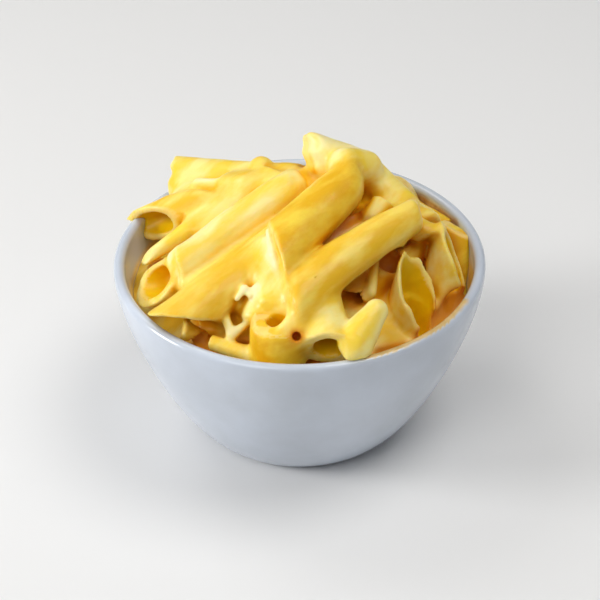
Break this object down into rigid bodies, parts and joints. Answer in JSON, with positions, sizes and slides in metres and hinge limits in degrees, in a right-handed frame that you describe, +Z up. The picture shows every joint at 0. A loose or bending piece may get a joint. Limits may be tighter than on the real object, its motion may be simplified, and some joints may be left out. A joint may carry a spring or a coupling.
{
  "type": "bowl of mac and cheese made with penne",
  "caption": "Deep round glazed bowl filled and heaped with penne pasta in thick melted cheese sauce.",
  "frame": {"origin": "centre of the bowl's underside, on the table", "axes": "+Z up along the bowl's axis, +Y away from the viewer of the picture, +X to the viewer's right"},
  "size_m": [0.12, 0.12, 0.0926],
  "materials": {
    "bowl": "smooth gloss glaze",
    "pasta": "wet glossy cheese sauce over soft pasta"
  },
  "bodies": {
    "root": {"bowl": "bowl", "pasta_heap": "pasta"}
  },
  "joints": []
}
